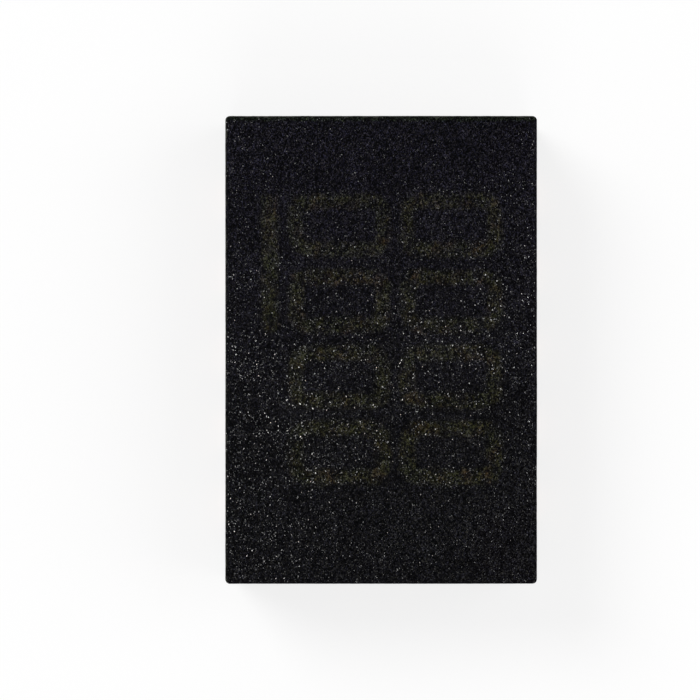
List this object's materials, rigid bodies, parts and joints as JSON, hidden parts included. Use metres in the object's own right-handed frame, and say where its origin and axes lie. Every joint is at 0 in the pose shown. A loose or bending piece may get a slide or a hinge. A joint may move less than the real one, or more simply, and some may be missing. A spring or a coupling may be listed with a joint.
{
  "type": "qfn chip",
  "caption": "Flat no-lead chip package: moulded black body with solder pads along both long sides, an exposed thermal pad, and the die and bond wires inside.",
  "frame": {"origin": "centre of the seating plane, the plane of the solder faces", "axes": "+Z out of the marked face; +Y along the 3 mm side towards the end with pin 1; seen from above pin 1 is at -X, +Y"},
  "size_m": [0.002, 0.003, 0.0008],
  "materials": {
    "mould_resin": "near-black filled epoxy, fine grain with bright specks, faint laser marks",
    "tinned_copper": "matte granular tin on the solder faces, bare sawn copper at the side walls",
    "die_adhesive": "silver-filled epoxy, dull",
    "silicon": "polished silicon with a dark blue-grey passivation",
    "bond_gold": "bright drawn gold wire"
  },
  "bodies": {
    "root": {"mould_body": "mould_resin", "die_paddle": "tinned_copper", "die_attach": "die_adhesive", "silicon_die": "silicon", "lead_1": "tinned_copper", "lead_2": "tinned_copper", "lead_3": "tinned_copper", "lead_4": "tinned_copper", "lead_5": "tinned_copper", "lead_6": "tinned_copper", "lead_7": "tinned_copper", "lead_8": "tinned_copper", "lead_9": "tinned_copper", "lead_10": "tinned_copper", "bond_wire_1": "bond_gold", "bond_wire_2": "bond_gold", "bond_wire_3": "bond_gold", "bond_wire_4": "bond_gold", "bond_wire_5": "bond_gold", "bond_wire_6": "bond_gold", "bond_wire_7": "bond_gold", "bond_wire_8": "bond_gold", "bond_wire_9": "bond_gold", "bond_wire_10": "bond_gold"}
  },
  "joints": []
}
